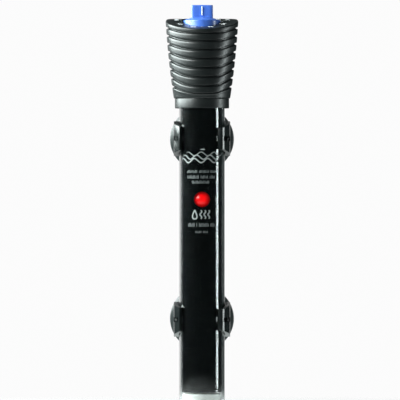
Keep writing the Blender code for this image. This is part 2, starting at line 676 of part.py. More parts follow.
def make_gland():
    boot, boot_foot, boot_top = CAP_RIM + GAP, 3.9 * MM, 3.5 * MM
    profile = [(GLAND_BORE, GLAND_TOP), (boot_top, GLAND_TOP)]
    profile += [(boot_foot, boot + 0.6 * MM), (boot_foot, boot)]
    profile += [(GLAND_RADIUS, boot), (GLAND_RADIUS, GLAND_BOTTOM), (GLAND_BORE, GLAND_BOTTOM)]
    gland = turned("cord_gland", profile, rubber_black, steps=20, ring=True)
    gland.location.y = GLAND_OFFSET


# ---------------------------------------------------------------- holders


def clip_outline():
    """The clip seen from above: a C round the tube with facets outside and a thick back."""

    def at(angle, radius):
        return (radius * math.sin(angle), -radius * math.cos(angle))

    inner = []
    steps = 28
    turn = 2 * math.pi - RIGHT_TIP - LEFT_TIP
    for i in range(steps + 1):
        inner.append(at(-LEFT_TIP - turn * i / steps, CLIP_BORE))
    flank = [(14.6, -1.5), (14.9, 4.5), (10.4, 13.2), (9.0, 14.4)]  # corners in millimetres
    right = [(x * MM, y * MM) for x, y in [*RIGHT_FACETS, *flank]]
    left = [at(-LEFT_TIP - behind, radius * MM) for behind, radius in LEFT_FACETS]
    left += [(-x * MM, y * MM) for x, y in flank]
    back = [(9.0 * MM, CLIP_BACK), (-9.0 * MM, CLIP_BACK)]
    return [*inner, *right, *back, *reversed(left)]


def wedge_cutter(name, sign, material, pivot):
    """Slants the arms' top or bottom edge, so that they narrow towards their tips."""
    start, low_end, far = (5.2 * MM, CLIP_HALF_HEIGHT), (-20.8 * MM, 2.7 * MM), 20 * MM
    side = [low_end, start, (start[0], far), (low_end[0], far)]
    cutter = plate(name, [[(y, sign * z) for y, z in side]], -30 * MM, 30 * MM, material, pivot)
    cutter.rotation_euler = (math.pi / 2, 0.0, math.pi / 2)
    return cutter


def cut_slits(clip, place, height):
    """One slit through each arm, with a small post across it. The corners are in millimetres."""
    pivot = clip_pivots[place]
    centre, half = height / MM, SLOT_HEIGHT / MM / 2
    slits = {"right": ((9, -8.7), (17, 3.6)), "left": ((-17, -5.5), (-9, 3.6))}
    for side, (low, high) in slits.items():
        corners = (*low, centre - half), (*high, centre + half)
        as_cutter(box(f"cut_{place}_{side}_slit", *corners, clip_black, pivot), clip)
    reach = half + 0.3  # into the arm above and below
    for side, sign in {"right": 1, "left": -1}.items():
        x, y = sign * SLOT_POST[0] * MM, SLOT_POST[1] * MM
        ends = (x, y, (centre - reach) * MM), (x, y, (centre + reach) * MM)
        post = rod(f"join_{place}_{side}_post", *ends, POST_RADIUS, clip_black, sides=8, pivot=pivot)
        as_cutter(post, clip, "UNION")


def cut_keyhole(clip, place, height):
    """The slot, open at the top, that the suction cup's knob slides down."""
    pivot, centre = clip_pivots[place], height / MM
    head, neck = KNOB_RADIUS / MM + 0.4, NECK_RADIUS / MM + 0.4
    for name, radius, start, end in (("head", head, 13.5, 16.2), ("neck", neck, 15.5, 19.5)):
        front, back = (0, start * MM, height), (0, end * MM, height)
        hole = rod(f"cut_{place}_{name}_hole", front, back, radius * MM, clip_black, sides=24, pivot=pivot)
        corners = (-radius, start, centre), (radius, end, centre + 12)
        slot = box(f"cut_{place}_{name}_slot", *corners, clip_black, pivot)
        as_cutter(hole, clip)
        as_cutter(slot, clip)


def make_holder(place, height):
    """A clip on the tube, with a suction cup in the keyhole slot at its back."""
    pivot = clip_pivots[place]
    low, high = height - CLIP_HALF_HEIGHT, height + CLIP_HALF_HEIGHT
    clip = plate(f"{place}_clip", [clip_outline()], low, high, clip_black, pivot)
    for side, sign in {"top": 1, "bottom": -1}.items():
        wedge = wedge_cutter(f"cut_{place}_{side}", sign, clip_black, pivot)
        wedge.location = (0.0, 0.0, height)
        as_cutter(wedge, clip)
    cut_slits(clip, place, height)
    cut_keyhole(clip, place, height)
    make_suction_cup(f"{place}_suction_cup", height, cup_pivots[place])


def make_suction_cup(name, height, pivot):
    profile = [(radius * MM, away * MM) for radius, away in KNOB_PROFILE + CUP_OUTSIDE + CUP_INSIDE]
    cup = turned(name, profile, cup_black, steps=24, pivot=pivot)
    face_front(cup, height, WALL_DISTANCE)


# ---------------------------------------------------------------- the whole heater

clear_scene()
parts = new_collection("aquarium_heater")
cutters = new_collection("cutters")

glass = new_material("glass", (0.80, 0.86, 0.85), 0.03)
sleeve_black = new_material("sleeve_black", (0.010, 0.012, 0.013), 0.35)
cap_black = new_material("cap_black", (0.030, 0.033, 0.033), 0.45)
plastic_black = new_material("plastic_black", (0.04, 0.04, 0.04), 0.4)
clip_black = new_material("clip_black", (0.018, 0.020, 0.020), 0.18)
cup_black = new_material("cup_black", (0.015, 0.017, 0.017), 0.22)
rubber_black = new_material("rubber_black", (0.02, 0.02, 0.02), 0.7)
rubber_grey = new_material("rubber_grey", (0.16, 0.16, 0.16), 0.7)
dial_blue = new_material("dial_blue", (0.08, 0.17, 0.55), 0.35)
lamp_red = new_material("lamp_red", (1.0, 0.01, 0.01), 0.15)
ceramic_white = new_material("ceramic_white", (0.82, 0.80, 0.75), 0.6)
ceramic_grey = new_material("ceramic_grey", (0.62, 0.60, 0.56), 0.7)
mica = new_material("mica", (0.60, 0.52, 0.36), 0.3)
white_pad = new_material("white_pad", (0.85, 0.85, 0.82), 0.9)
nichrome = new_material("nichrome", (0.42, 0.38, 0.34), 0.4, 1.0)
steel = new_material("steel", (0.58, 0.58, 0.58), 0.35, 1.0)
brass = new_material("brass", (0.75, 0.56, 0.25), 0.3, 1.0)
bimetal_gold = new_material("bimetal", (0.62, 0.52, 0.38), 0.35, 1.0)
spring_copper = new_material("spring_copper", (0.80, 0.45, 0.28), 0.3, 1.0)
silver = new_material("silver", (0.85, 0.85, 0.83), 0.25, 1.0)
tinned = new_material("tinned", (0.70, 0.70, 0.70), 0.35, 1.0)
magnet_grey = new_material("magnet_grey", (0.10, 0.10, 0.11), 0.5)
board_green = new_material("board_green", (0.05, 0.22, 0.10), 0.4)
resistor_tan = new_material("resistor_tan", (0.62, 0.47, 0.30), 0.5)
capacitor_orange = new_material("capacitor_orange", (0.70, 0.30, 0.06), 0.4)
wire_white = new_material("wire_white", (0.82, 0.82, 0.80), 0.5)
wire_blue = new_material("wire_blue", (0.06, 0.16, 0.50), 0.5)
wire_brown = new_material("wire_brown", (0.22, 0.10, 0.05), 0.5)

heater_axis = new_pivot("heater_axis", (0.0, -WALL_DISTANCE, -CLIP_HEIGHTS["upper"]))
dial_pivot = new_pivot("dial_pivot", (0.0, 0.0, DIAL_BOTTOM), heater_axis)
bimetal_pivot = new_pivot("bimetal_pivot", BIMETAL_PIVOT, heater_axis)
arm_pivot = new_pivot("arm_pivot", ARM_PIVOT, heater_axis)
clip_pivots = {place: new_pivot(f"{place}_clip_pivot", (0.0, 0.0, height), heater_axis)
               for place, height in CLIP_HEIGHTS.items()}
cup_pivots = {place: new_pivot(f"{place}_cup_pivot", (0.0, WALL_DISTANCE, height), heater_axis)
              for place, height in CLIP_HEIGHTS.items()}

make_glass_tube()
make_sleeve()
make_cushion()
make_core()
make_coil()
make_core_discs()
make_crimps()
make_wires()
make_frame()
make_support_rods()
make_bimetal()
make_contact_arm()
make_adjusting_screw()
make_indicator()
make_cap()
make_collar()
make_bung()
make_housing()
make_spindle()
make_spindle_clip()
make_dial()
make_gland()
for holder_place, holder_height in CLIP_HEIGHTS.items():
    make_holder(holder_place, holder_height)
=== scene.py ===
"""Looks of the submersible aquarium heater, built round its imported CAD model.

New pieces are made in the heater's own frame: Z is the tube's axis, and height 0 is the bottom of the tube.
Each is then placed with one shift, HEATER. Angles round the tube are counted from the front, which is -Y.
"""

import json
import math

import bmesh
import bpy
from mathutils import Matrix, Vector


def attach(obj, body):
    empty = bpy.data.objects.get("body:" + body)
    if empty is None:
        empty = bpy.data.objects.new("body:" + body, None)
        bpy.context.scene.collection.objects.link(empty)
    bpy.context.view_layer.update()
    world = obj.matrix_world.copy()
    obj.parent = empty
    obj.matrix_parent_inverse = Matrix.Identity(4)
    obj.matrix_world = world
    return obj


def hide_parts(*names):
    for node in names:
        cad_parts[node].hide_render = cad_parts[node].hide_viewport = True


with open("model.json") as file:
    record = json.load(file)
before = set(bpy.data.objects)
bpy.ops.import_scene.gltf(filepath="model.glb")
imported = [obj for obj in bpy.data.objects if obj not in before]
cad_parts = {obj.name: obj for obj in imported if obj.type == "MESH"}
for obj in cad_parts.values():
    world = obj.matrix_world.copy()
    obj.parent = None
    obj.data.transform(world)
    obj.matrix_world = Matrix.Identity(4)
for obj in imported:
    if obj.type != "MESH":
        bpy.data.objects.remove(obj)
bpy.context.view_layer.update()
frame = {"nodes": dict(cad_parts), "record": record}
nodes = frame["nodes"]

MM = 0.001
HEATER = Vector((0.0, -26.5, -146.6)) * MM  # the bottom of the tube, in the row frame

# Tube
TUBE_RADIUS = 12.0 * MM
TUBE_BORE = 10.8 * MM
TUBE_TOP = 178.0 * MM
TUBE_END_DEPTH = 9.0 * MM
SLEEVE_RADIUS = 10.5 * MM
SLEEVE_BORE = 10.2 * MM
SLEEVE_BOTTOM = 13.0 * MM
SLEEVE_TOP = 165.0 * MM
LAMP_HEIGHT = 114.5 * MM
LAMP_RADIUS = 4.0 * MM
BOARD_FACE = -4.4 * MM
INK_FOOT = TUBE_RADIUS + 0.01 * MM
INK_TOP = TUBE_RADIUS + 0.035 * MM

# Cap
CAP_FOOT = 167.7 * MM
CAP_RIM = 210.0 * MM
CAP_FOOT_RADIUS = 14.85 * MM
CAP_RIM_RADIUS = 19.25 * MM
CAP_BELLY = 2.2 * MM
CAP_BORE = 12.3 * MM
CAP_EDGE = 0.25 * MM
CAP_TURN = 192  # steps round the cap
GROOVE_TOP = 204.9 * MM
GROOVE_COUNT = 8
GROOVE_PITCH = 4.1 * MM
GROOVE_SPREAD = 0.045 * MM  # how the pitch grows downwards
GROOVE_DEPTH = 1.15 * MM
GROOVE_FLOOR = 0.3 * MM  # half the width of a groove's floor
GROOVE_HALF = 0.62 * MM  # half its width at the skin
RIB_EDGE = 0.75 * MM  # how far the ribs' edges round over beside a groove
RIB_FALL = 0.16 * MM
DIP_TOP = 3.3 * MM  # how far the top groove sinks at the very front
DIP_MORE = 1.6 * MM  # how much further a groove sinks that lies DIP_SPAN below it
DIP_SPAN = 25.6 * MM
DIP_START = 167.6 * MM  # nothing sinks below this height, and all sinks fully from DIP_FULL up
DIP_FULL = 176.0 * MM
DIP_POWER = 2.75
SCOOP_SLOPE = 0.258  # the cap's top is cut slanting, down to the front
SCOOP_MIDDLE = 208.9 * MM  # its height at the sides
SCOOP_REACH = 7.76 * MM  # how far out the slant counts from, whatever a point's radius
SCOOP_SPREAD = 0.584  # how much of the radius adds to that
SCOOP_EDGE = 0.5 * MM  # how softly the slant turns level
SKIN_FOOT = 168.1 * MM  # the skin's lowest and highest rows lie between these
SKIN_TOP = 208.5 * MM
ROW_GAP = 0.09 * MM  # rows closer together than this are left out
LIP = 0.75 * MM  # how far the edge of the cap's top rounds over
LIP_RADIUS = 18.6 * MM
WELL_RADIUS = 10.0 * MM
WELL_FLOOR = 201.5 * MM
NECK_RADIUS = 6.3 * MM
CHAMBER_RADIUS = 13.5 * MM
CHAMBER_FLOOR = 180.8 * MM
CHAMBER_CEILING = 199.0 * MM
COLLAR_RADIUS = 14.3 * MM
COLLAR_FOOT = 162.5 * MM
COLLAR_TOP = 167.6 * MM
GLAND_OFFSET = 14.0 * MM
GLAND_SEAT_RADIUS = 3.5 * MM
GLAND_SEAT_FLOOR = 201.03 * MM
GLAND_SEAT_TOP = 220.0 * MM
PASSAGE_RADIUS = 3.0 * MM
PASSAGE_FOOT = 196.0 * MM
PASSAGE_TOP = 204.0 * MM

# Dial. The grip's values are in millimetres, and a level is a height and a share of the full width there
GRIP_FOOT = 209.2
GRIP_TOP = 217.0
GRIP_HALF_LENGTH = 5.8
GRIP_HALF_WIDTH = 2.2
GRIP_LEVELS = [(GRIP_FOOT, 1.0), (211.5, 0.97), (214.0, 0.94), (216.0, 0.92), (216.6, 0.87), (216.9, 0.78)]
SCALE_START = math.radians(-135)
SCALE_SWEEP = math.radians(270)
TEMPERATURES = range(18, 34, 2)
TICK_INNER = 10.7 * MM
SHORT_TICK = 11.4 * MM  # where the ticks end
LONG_TICK = 11.9 * MM
TICK_HALF = 0.16 * MM
NUMBER_RADIUS = 13.6 * MM
NUMBER_SIZE = 2.9 * MM

# Holders
CLIP_HEIGHTS = {"upper": 146.6 * MM, "lower": 51.2 * MM}
WALL_DISTANCE = 26.5 * MM
CLIP_BORE = 12.3 * MM
CLIP_HALF_HEIGHT = 9.2 * MM
RIGHT_TIP = math.radians(42.5)
LEFT_TIP = math.radians(59.5)
KNOB = [(0, 12.7), (2.9, 12.7, 1), (3.5, 12.1, 1), (3.5, 11.2, 1), (2.9, 10.6, 1), (2.1, 10.6, 0.6)]
KNOB += [(2.1, 8.0, 0.6), (5.2, 8.0, 1)]
CUP_OUTSIDE = [(5.2, 8.0), (6.0, 7.3), (7.2, 5.6), (10.0, 4.0), (13.5, 2.5), (16.4, 1.2), (16.9, 0.75)]
CUP_OUTSIDE.append((17.0, 0.3))
CUP_RIM = (16.9, 0.0)
CUP_INSIDE = [(15.4, 0.0), (13.4, 0.9), (9.5, 2.1), (5.0, 2.9), (0, 3.2)]

# Pieces carried over from the CAD model
THIN_NODES = {"heating_coil", "live_wire", "neutral_wire", "element_wire", "upper_o_ring", "lower_o_ring"}
INSIDE_EDGE = 0.07 * MM

# Studio
FLOOR_RADIUS = 0.32
FLOOR_FADE = 0.7  # the share of that radius over which the floor fades out
BACKDROP = (0.97, 0.97, 0.97)
SURROUNDINGS = (0.022, 0.03, 0.031)  # what the heater reflects where there is no light
PALE_CYAN = (0.9, 1.0, 1.0)
PALE_GREEN = (0.9, 1.0, 0.985)
CAMERA_PLACE = (-0.00105, -2.9545, -0.0324)

FACE_FRONT = (math.pi / 2, 0.0, 0.0)  # the turn that points a turned piece's axis at the front


# ---------------------------------------------------------------- shapes


def linked(name, data):
    obj = bpy.data.objects.new(name, data)
    bpy.context.scene.collection.objects.link(obj)
    return obj


def new_object(name, mesh, material, body, location=(0.0, 0.0, 0.0), turn=(0.0, 0.0, 0.0)):
    """A piece that rides on a body. Its location and turn are in the heater's frame."""
    obj = linked(name, mesh)
    obj.location = HEATER + Vector(location)
    obj.rotation_euler = turn
    mesh.materials.append(material)
    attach(obj, body)
    return obj


def shade(mesh, angle=30):
    mesh.shade_smooth()
    mesh.set_sharp_from_angle(angle=math.radians(angle))


def mesh_of(bm, name):
    mesh = bpy.data.meshes.new(name)
    bm.to_mesh(mesh)
    bm.free()
    return mesh


def on_circle(radius, angle, height):
    """A point at an angle from the front, counted towards the right."""
    return (radius * math.sin(angle), -radius * math.cos(angle), height)


def ring_mesh(name, rows, closed=False):
    """A skin through rows of points. A row is a ring, all rings with the same count, or one point, a pole."""
    verts, starts = [], []
    for row in rows:
        starts.append(len(verts))
        verts.extend(row)
    pairs = list(zip(range(len(rows) - 1), range(1, len(rows))))
    if closed:
        pairs.append((len(rows) - 1, 0))
    faces = []
    for a, b in pairs:
        count = max(len(rows[a]), len(rows[b]))
        if count == 1:
            continue
        for i in range(count):
            j = (i + 1) % count
            top = [starts[a]] if len(rows[a]) == 1 else [starts[a] + i, starts[a] + j]
            low = [starts[b]] if len(rows[b]) == 1 else [starts[b] + j, starts[b] + i]
            faces.append([*reversed(top), *reversed(low)])
    mesh = bpy.data.meshes.new(name)
    mesh.from_pydata(verts, [], faces)
    bm = bmesh.new()
    bm.from_mesh(mesh)
    bmesh.ops.recalc_face_normals(bm, faces=bm.faces)
    bm.to_mesh(mesh)
    bm.free()
    shade(mesh)
    return mesh


def lathe(name, profile, steps=160, closed=False):
    """Turns (radius, height) points round Z."""
    angles = [2 * math.pi * i / steps for i in range(steps)]
    rows = []
    for radius, height in profile:
        if radius < 1e-7:
            rows.append([(0.0, 0.0, height)])
        else:
            rows.append([on_circle(radius, angle, height) for angle in angles])
    return ring_mesh(name, rows, closed)


def millimetres(points):
    return [tuple(value * MM for value in point) for point in points]


def arc(centre, radii, start, end, count):
    """Points on an ellipse's arc, from start to end in degrees."""
    angles = [math.radians(start + (end - start) * i / (count - 1)) for i in range(count)]
    return [(centre[0] + radii[0] * math.cos(a), centre[1] + radii[1] * math.sin(a)) for a in angles]


def rounded(points, radius, steps=4):
    """An outline whose marked corners are cut to arcs. The mark is a third value, a share of the radius."""
    out = []
    for i, point in enumerate(points):
        share = point[2] if len(point) > 2 else 0.0
        corner = Vector(point[:2])
        if not share or i in (0, len(points) - 1):
            out.append(tuple(corner))
            continue
        ends = []
        for neighbour in (points[i - 1], points[i + 1]):
            side = Vector(neighbour[:2]) - corner
            ends.append(corner + side.normalized() * min(radius * share, side.length * 0.48))
        start, end = ends
        for step in range(steps + 1):
            t = step / steps
            out.append(tuple((1 - t) ** 2 * start + 2 * t * (1 - t) * corner + t * t * end))
    return out


def smooth_line(points, per_span=6):
    """Points on a smooth curve through a few (Catmull-Rom)."""
    ends = [Vector(p) for p in (points[0], *points, points[-1])]
    line = []
    for before, start, end, after in zip(ends, ends[1:], ends[2:], ends[3:]):
        for step in range(per_span):
            t = step / per_span
            pull = (end - before) * t + (2 * before - 5 * start + 4 * end - after) * t**2
            line.append(tuple(0.5 * (2 * start + pull + (3 * start - before - 3 * end + after) * t**3)))
    return [*line, tuple(ends[-1])]


def prism(name, outline, bottom, top):
    bm = bmesh.new()
    face = bm.faces.new([bm.verts.new((x, y, bottom)) for x, y in outline])
    bmesh.ops.recalc_face_normals(bm, faces=bm.faces)
    made = bmesh.ops.extrude_face_region(bm, geom=[face])
    moved = [v for v in made["geom"] if isinstance(v, bmesh.types.BMVert)]
    bmesh.ops.translate(bm, verts=moved, vec=(0.0, 0.0, top - bottom))
    bmesh.ops.recalc_face_normals(bm, faces=bm.faces)
    return mesh_of(bm, name)


def block(name, low, high):
    low, high = Vector(low), Vector(high)
    bm = bmesh.new()
    where = Matrix.Translation((low + high) / 2) @ Matrix.Diagonal((*(high - low), 1.0))
    bmesh.ops.create_cube(bm, size=1.0, matrix=where)
    return mesh_of(bm, name)


def bar(name, start, end, radius, sides=48):
    start, end = Vector(start), Vector(end)
    turn = (end - start).to_track_quat("Z", "Y").to_matrix().to_4x4()
    where = Matrix.Translation((start + end) / 2) @ turn
    size = {"radius1": radius, "radius2": radius, "depth": (end - start).length}
    bm = bmesh.new()
    bmesh.ops.create_cone(bm, cap_ends=True, segments=sides, matrix=where, **size)
    return mesh_of(bm, name)


def combined(mesh, tools, operation="DIFFERENCE"):
    """The mesh with each tool mesh cut away from it, or joined to it."""
    target = linked("work", mesh)
    helpers = []
    for tool in tools:
        helper = linked("tool", tool)
        boolean = target.modifiers.new("boolean", "BOOLEAN")
        boolean.operation = operation
        boolean.solver = "EXACT"
        boolean.object = helper
        helpers.append(helper)
    done = evaluated(target)
    for obj in [target, *helpers]:
        bpy.data.objects.remove(obj)
    return done


def evaluated(obj):
    """A new mesh with the object's modifiers applied."""
    graph = bpy.context.evaluated_depsgraph_get()
    graph.update()
    mesh = bpy.data.meshes.new_from_object(obj.evaluated_get(graph))
    mesh.materials.clear()
    return mesh


def bevelled(mesh, width, segments=3, angle=32):
    """Rounds a mesh's sharp edges, after joining the faces that lie in one plane."""
    bm = bmesh.new()
    bm.from_mesh(mesh)
    bmesh.ops.dissolve_limit(bm, angle_limit=math.radians(1), verts=bm.verts, edges=bm.edges)
    bm.to_mesh(mesh)
    bm.free()
    obj = linked("work", mesh)
    add_bevel(obj, width, segments, angle)
    done = evaluated(obj)
    bpy.data.objects.remove(obj)
    shade(done, 40)
    return done


def add_bevel(obj, width, segments, angle):
    bevel = obj.modifiers.new("bevel", "BEVEL")
    bevel.width = width
    bevel.segments = segments
    bevel.limit_method = "ANGLE"
    bevel.angle_limit = math.radians(angle)
    bevel.use_clamp_overlap = True


# ---------------------------------------------------------------- materials


def nodes_of(material):
    return material.node_tree.nodes, material.node_tree.links


def new_material(name, colour, roughness, metallic=0.0, **settings):
    material = bpy.data.materials.new(name)
    material.use_nodes = True
    shader = material.node_tree.nodes["Principled BSDF"]
    shader.inputs["Base Color"].default_value = (*colour, 1.0)
    shader.inputs["Roughness"].default_value = roughness
    shader.inputs["Metallic"].default_value = metallic
    for socket, value in settings.items():
        shader.inputs[socket.replace("_", " ")].default_value = value
    material.diffuse_color = (*colour, 1.0)
    return material


def texture(material, kind, scale, stretch=(1.0, 1.0, 1.0), **settings):
    """A texture in the piece's own coordinates. Its scale is in features per metre."""
    made = placed_texture(material, kind, stretch)
    made.inputs["Scale"].default_value = scale
    for socket, value in settings.items():
        made.inputs[socket].default_value = value
    return made


def placed_texture(material, kind, stretch):
    tree, links = nodes_of(material)
    source = tree.new("ShaderNodeTexCoord")
    mapping = tree.new("ShaderNodeMapping")
    mapping.inputs["Scale"].default_value = stretch
    links.new(source.outputs["Object"], mapping.inputs["Vector"])
    made = tree.new(kind)
    links.new(mapping.outputs["Vector"], made.inputs["Vector"])
    return made


def closeness(material, reach):
    """1 on the piece's own Z axis, falling to 0 at a distance of reach from it."""
    made = placed_texture(material, "ShaderNodeTexGradient", (1 / reach, 1 / reach, 0.0))
    made.gradient_type = "SPHERICAL"
    return made.outputs["Fac"]


def remap(material, value, low, high, start=0.0, end=1.0):
    """Stretches the values from start to end over the values from low to high."""
    tree, links = nodes_of(material)
    node = tree.new("ShaderNodeMapRange")
    node.inputs["From Min"].default_value = start
    node.inputs["From Max"].default_value = end
    node.inputs["To Min"].default_value = low
    node.inputs["To Max"].default_value = high
    links.new(value, node.inputs["Value"])
    return node.outputs["Result"]


def mix_colour(material, factor, first, second):
    """Mixes two colours by a factor. The first may be an output that carries a colour."""
    tree, links = nodes_of(material)
    node = tree.new("ShaderNodeMix")
    node.data_type = "RGBA"
    first_socket, second_socket = node.inputs[6], node.inputs[7]
    links.new(factor, node.inputs["Factor"])
    if hasattr(first, "is_output"):
        links.new(first, first_socket)
    else:
        first_socket.default_value = (*first, 1.0)
    second_socket.default_value = (*second, 1.0)
    return node.outputs[2]


def add_bump(material, value, strength, distance):
    """Adds a bump on top of any that the material has."""
    tree, links = nodes_of(material)
    shader = tree["Principled BSDF"]
    bump = tree.new("ShaderNodeBump")
    bump.inputs["Strength"].default_value = strength
    bump.inputs["Distance"].default_value = distance
    links.new(value, bump.inputs["Height"])
    if shader.inputs["Normal"].links:
        links.new(shader.inputs["Normal"].links[0].from_socket, bump.inputs["Normal"])
    links.new(bump.outputs["Normal"], shader.inputs["Normal"])


def connect(material, value, socket):
    tree, links = nodes_of(material)
    links.new(value, tree["Principled BSDF"].inputs[socket])


def tint(colour, share):
    return tuple(min(1.0, c * share) for c in colour)


def moulded(name, colour, roughness, spread=0.08, grain=0.35, marks=0.0, **settings):
    """Moulded plastic or rubber: fine grain, slow changes of gloss, and faint rubbed places."""
    material = new_material(name, colour, roughness, **settings)
    cloud = texture(material, "ShaderNodeTexNoise", 90.0, Detail=4.0, Roughness=0.6)
    fine = texture(material, "ShaderNodeTexNoise", 2600.0, Detail=2.0)
    gloss = remap(material, cloud.outputs["Fac"], roughness - spread, roughness + spread)
    connect(material, gloss, "Roughness")
    shades = mix_colour(material, cloud.outputs["Fac"], tint(colour, 0.82), tint(colour, 1.22))
    if marks:
        upright = (1.0, 1.0, 0.18)
        rub = texture(material, "ShaderNodeTexNoise", 240.0, upright, Detail=6.0, Roughness=0.7)
        worn = remap(material, rub.outputs["Fac"], 0.0, marks, 0.56, 0.74)
        lighter = tuple(0.5 * c + 0.12 for c in colour)
        shades = mix_colour(material, worn, shades, lighter)
    connect(material, shades, "Base Color")
    add_bump(material, fine.outputs["Fac"], grain, 0.02 * MM)
    add_bump(material, cloud.outputs["Fac"], 0.25, 0.05 * MM)
    return material


def metal(name, colour, roughness, stretch=(1.0, 1.0, 0.04), **settings):
    """Drawn or rolled metal: fine lines along one direction and a slightly uneven tone."""
    material = new_material(name, colour, roughness, metallic=1.0, **settings)
    lines = texture(material, "ShaderNodeTexNoise", 4200.0, stretch=stretch, Detail=3.0)
    cloud = texture(material, "ShaderNodeTexNoise", 300.0, Detail=4.0)
    connect(material, remap(material, lines.outputs["Fac"], roughness - 0.1, roughness + 0.14), "Roughness")
    shades = mix_colour(material, cloud.outputs["Fac"], tint(colour, 0.75), tint(colour, 1.15))
    connect(material, shades, "Base Color")
    add_bump(material, lines.outputs["Fac"], 0.3, 0.01 * MM)
    return material


def stone(name, colour, roughness, speck, scale=900.0, **settings):
    """Ceramic, mica or fibre: specks of a second tone and a rough surface."""
    material = new_material(name, colour, roughness, **settings)
    cells = texture(material, "ShaderNodeTexVoronoi", scale)
    cloud = texture(material, "ShaderNodeTexNoise", scale / 3, Detail=5.0)
    dots = remap(material, cells.outputs["Distance"], 0.8, 0.0, 0.0, 0.45)
    base = mix_colour(material, cloud.outputs["Fac"], tint(colour, 0.86), tint(colour, 1.1))
    connect(material, mix_colour(material, dots, base, speck), "Base Color")
    connect(material, remap(material, cloud.outputs["Fac"], roughness - 0.1, roughness + 0.1), "Roughness")
    add_bump(material, cloud.outputs["Fac"], 0.5, 0.04 * MM)
    return material


def make_glass():
    """Clear glass under a thin uneven film."""
    material = new_material("glass", (0.97, 0.99, 0.985), 0.0, Transmission_Weight=1.0, IOR=1.47)
    film = texture(material, "ShaderNodeTexNoise", 120.0, stretch=(1.0, 1.0, 0.2), Detail=5.0)
    connect(material, remap(material, film.outputs["Fac"], 0.03, 0.05, 0.4, 0.8), "Roughness")
    return material


def make_lamp_red():
    """A red lens, lit from behind and darkening to its rim."""
    material = new_material("lamp_red", (0.7, 0.002, 0.003), 0.12, Emission_Strength=0.74, IOR=1.55)
    glow = texture(material, "ShaderNodeTexNoise", 500.0, Detail=2.0)
    colour = mix_colour(material, closeness(material, 4.2 * MM), (0.06, 0.0, 0.0005), (1.3, 0.002, 0.002))
    connect(material, colour, "Emission Color")
    connect(material, remap(material, glow.outputs["Fac"], 0.08, 0.2), "Roughness")
    return material


def make_ink(name, colour):
    """Printed ink with tiny pinholes."""
    material = new_material(name, colour, 0.5)
    cells = texture(material, "ShaderNodeTexNoise", 1800.0, Detail=3.0)
    worn = remap(material, cells.outputs["Fac"], 0.0, 0.5, 0.6, 0.8)
    connect(material, mix_colour(material, worn, colour, tint(colour, 0.6)), "Base Color")
    add_bump(material, cells.outputs["Fac"], 0.3, 0.01 * MM)
    return material


def make_board_green():
    """Solder mask over copper tracks."""
    material = new_material("board_green", (0.04, 0.2, 0.09), 0.35, Coat_Weight=0.3)
    tracks = texture(material, "ShaderNodeTexBrick", 300.0)
    tracks.inputs["Mortar Size"].default_value = 0.06
    shades = mix_colour(material, tracks.outputs["Fac"], (0.035, 0.18, 0.08), (0.08, 0.32, 0.14))
    connect(material, shades, "Base Color")
    add_bump(material, tracks.outputs["Fac"], 0.4, 0.03 * MM)
    return material


def make_floor_material():
    """A matt pale floor that fades out into the backdrop towards its rim."""
    material = new_material("studio_floor", (0.5, 0.5, 0.5), 0.8)
    cloud = texture(material, "ShaderNodeTexNoise", 8.0, Detail=3.0)
    fade = remap(material, closeness(material, FLOOR_RADIUS), 0.0, 1.0, 0.0, FLOOR_FADE)
    connect(material, fade, "Alpha")
    shades = mix_colour(material, cloud.outputs["Fac"], (0.49, 0.49, 0.49), (0.52, 0.52, 0.52))
    connect(material, shades, "Base Color")
    return material


